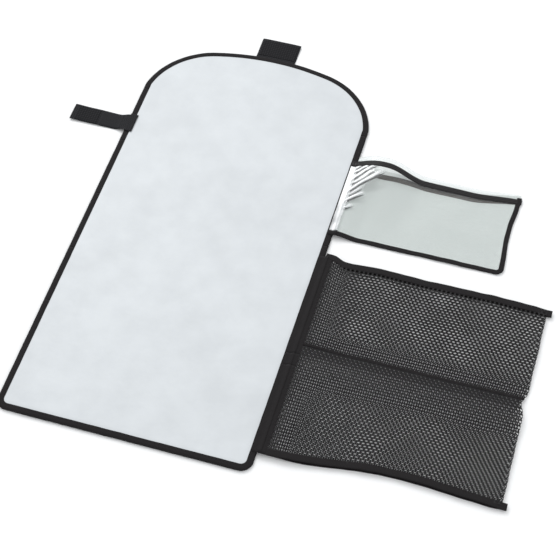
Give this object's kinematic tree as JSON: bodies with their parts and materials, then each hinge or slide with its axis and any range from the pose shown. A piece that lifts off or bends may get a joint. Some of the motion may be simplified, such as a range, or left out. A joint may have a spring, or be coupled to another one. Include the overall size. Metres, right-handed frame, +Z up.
{
  "type": "changing pad",
  "caption": "Padded changing mat with a rounded flap, mesh pockets and a clear pouch on its side, which folds up into a flat clutch.",
  "frame": {"origin": "On the underside of the upper section, at its centre, on the surface that the pad lies on when it is open.", "axes": "X runs across the mat towards its pockets, Y runs along the mat towards the rounded flap, Z is up, out of the wipe-clean face."},
  "size_m": [0.553, 0.5414, 0.0062],
  "materials": {
    "top_cover": "smooth wipe-clean coated cloth, pale grey blue, soft sheen",
    "foam": "soft closed-cell foam sheet",
    "backing": "plain woven polyester, charcoal",
    "binding": "ribbed binding tape, charcoal, matte",
    "webbing": "flat woven webbing, black, matte",
    "hook_tape": "hook side of a hook and loop fastener",
    "loop_tape": "loop side of a hook and loop fastener",
    "mesh": "open knitted mesh with round holes, charcoal",
    "clear_film": "clear flexible film, glossy",
    "milky_film": "translucent flexible film, milky",
    "closure_tape": "dark closure strip of the pouch mouth"
  },
  "bodies": {
    "mat_upper": {"upper_cover": "top_cover", "upper_foam": "foam", "upper_binding": "binding", "upper_backing": "backing", "strap_base": "webbing"},
    "second_spine": {"second_spine_cover": "top_cover", "second_spine_foam": "foam", "second_spine_binding": "binding", "second_spine_backing": "backing"},
    "mat_middle": {"middle_cover": "top_cover", "middle_foam": "foam", "middle_binding": "binding", "middle_backing": "backing", "landing_loop_patch": "loop_tape"},
    "first_spine": {"first_spine_cover": "top_cover", "first_spine_foam": "foam", "first_spine_binding": "binding", "first_spine_backing": "backing"},
    "mat_lower": {"lower_cover": "top_cover", "lower_foam": "foam", "lower_binding": "binding", "lower_backing": "backing"},
    "third_spine": {"third_spine_cover": "top_cover", "third_spine_foam": "foam", "third_spine_binding": "binding", "third_spine_backing": "backing"},
    "flap": {"flap_cover": "top_cover", "flap_foam": "foam", "flap_binding": "binding", "flap_backing": "backing"},
    "closing_tab": {"tab_webbing": "webbing", "tab_hook_patch": "hook_tape"},
    "upper_pocket": {"upper_pocket_back_mesh": "mesh", "upper_pocket_front_mesh": "mesh", "upper_pocket_outer_fold": "mesh", "upper_pocket_back_hem": "binding", "upper_pocket_front_hem": "binding", "upper_pocket_side_binding": "binding", "pocket_divider": "mesh", "pocket_divider_binding": "binding"},
    "pocket_fold": {"pocket_fold_mesh": "mesh", "pocket_fold_binding": "binding"},
    "lower_pocket": {"lower_pocket_back_mesh": "mesh", "lower_pocket_front_mesh": "mesh", "lower_pocket_outer_fold": "mesh", "lower_pocket_back_hem": "binding", "lower_pocket_front_hem": "binding", "lower_pocket_side_binding": "binding"},
    "clear_pouch": {"pouch_back_film": "milky_film", "pouch_front_film": "clear_film", "pouch_back_closure": "closure_tape", "pouch_front_closure": "closure_tape", "pouch_side_binding": "binding", "pouch_bottom_binding": "binding", "pouch_outer_binding": "binding"},
    "strap_inner": {"strap_inner_webbing": "webbing", "strap_loop_patch": "loop_tape"},
    "strap_outer": {"strap_outer_webbing": "webbing", "strap_hook_patch": "hook_tape"}
  },
  "joints": [
    {"name": "second_fold_upper", "type": "hinge", "parent": "mat_upper", "child": "second_spine", "pos_m": [0, -0.06425, 0.0036], "axis": [-1, 0, 0], "range_deg": [0, 90]},
    {"name": "second_fold_middle", "type": "hinge", "parent": "second_spine", "child": "mat_middle", "pos_m": [0, -0.08925, 0.0036], "axis": [-1, 0, 0], "range_deg": [0, 90]},
    {"name": "first_fold_middle", "type": "hinge", "parent": "mat_middle", "child": "first_spine", "pos_m": [0, -0.21325, 0.0036], "axis": [-1, 0, 0], "range_deg": [0, 90]},
    {"name": "first_fold_lower", "type": "hinge", "parent": "first_spine", "child": "mat_lower", "pos_m": [0, -0.22725, 0.0036], "axis": [-1, 0, 0], "range_deg": [0, 90]},
    {"name": "flap_fold_upper", "type": "hinge", "parent": "mat_upper", "child": "third_spine", "pos_m": [0, 0.06425, 0.0036], "axis": [1, 0, 0], "range_deg": [0, 90]},
    {"name": "flap_fold_flap", "type": "hinge", "parent": "third_spine", "child": "flap", "pos_m": [0, 0.09325, 0.0036], "axis": [1, 0, 0], "range_deg": [0, 90]},
    {"name": "tab_peel", "type": "hinge", "parent": "flap", "child": "closing_tab", "pos_m": [0, 0.16315, 0], "axis": [-1, 0, 0], "range_deg": [-20, 90]},
    {"name": "mesh_fold_upper", "type": "hinge", "parent": "mat_middle", "child": "upper_pocket", "pos_m": [0.128, -0.15025, 0.0051], "axis": [0, -1, 0], "range_deg": [0, 180]},
    {"name": "mesh_fold_spine", "type": "hinge", "parent": "first_spine", "child": "pocket_fold", "pos_m": [0.128, -0.22025, 0.0051], "axis": [0, -1, 0], "range_deg": [0, 180]},
    {"name": "mesh_fold_lower", "type": "hinge", "parent": "mat_lower", "child": "lower_pocket", "pos_m": [0.128, -0.27525, 0.0051], "axis": [0, -1, 0], "range_deg": [0, 180]},
    {"name": "pouch_fold", "type": "hinge", "parent": "mat_upper", "child": "clear_pouch", "pos_m": [0.128, -0.00925, 0.0051], "axis": [0, -1, 0], "range_deg": [0, 180]},
    {"name": "strap_swing", "type": "hinge", "parent": "mat_upper", "child": "strap_inner", "pos_m": [-0.1279, 0.02575, 0.0048], "axis": [0, 1, 0], "range_deg": [0, 180]},
    {"name": "strap_loop_back", "type": "hinge", "parent": "strap_inner", "child": "strap_outer", "pos_m": [-0.159, 0.02575, 0.0023], "axis": [0, 1, 0], "range_deg": [0, 180]}
  ],
  "couplings": [
    {"joint": "second_fold_middle", "follows": "second_fold_upper", "ratio": 1},
    {"joint": "first_fold_lower", "follows": "first_fold_middle", "ratio": 1},
    {"joint": "flap_fold_flap", "follows": "flap_fold_upper", "ratio": 1},
    {"joint": "mesh_fold_spine", "follows": "mesh_fold_upper", "ratio": 1},
    {"joint": "mesh_fold_lower", "follows": "mesh_fold_upper", "ratio": 1}
  ]
}
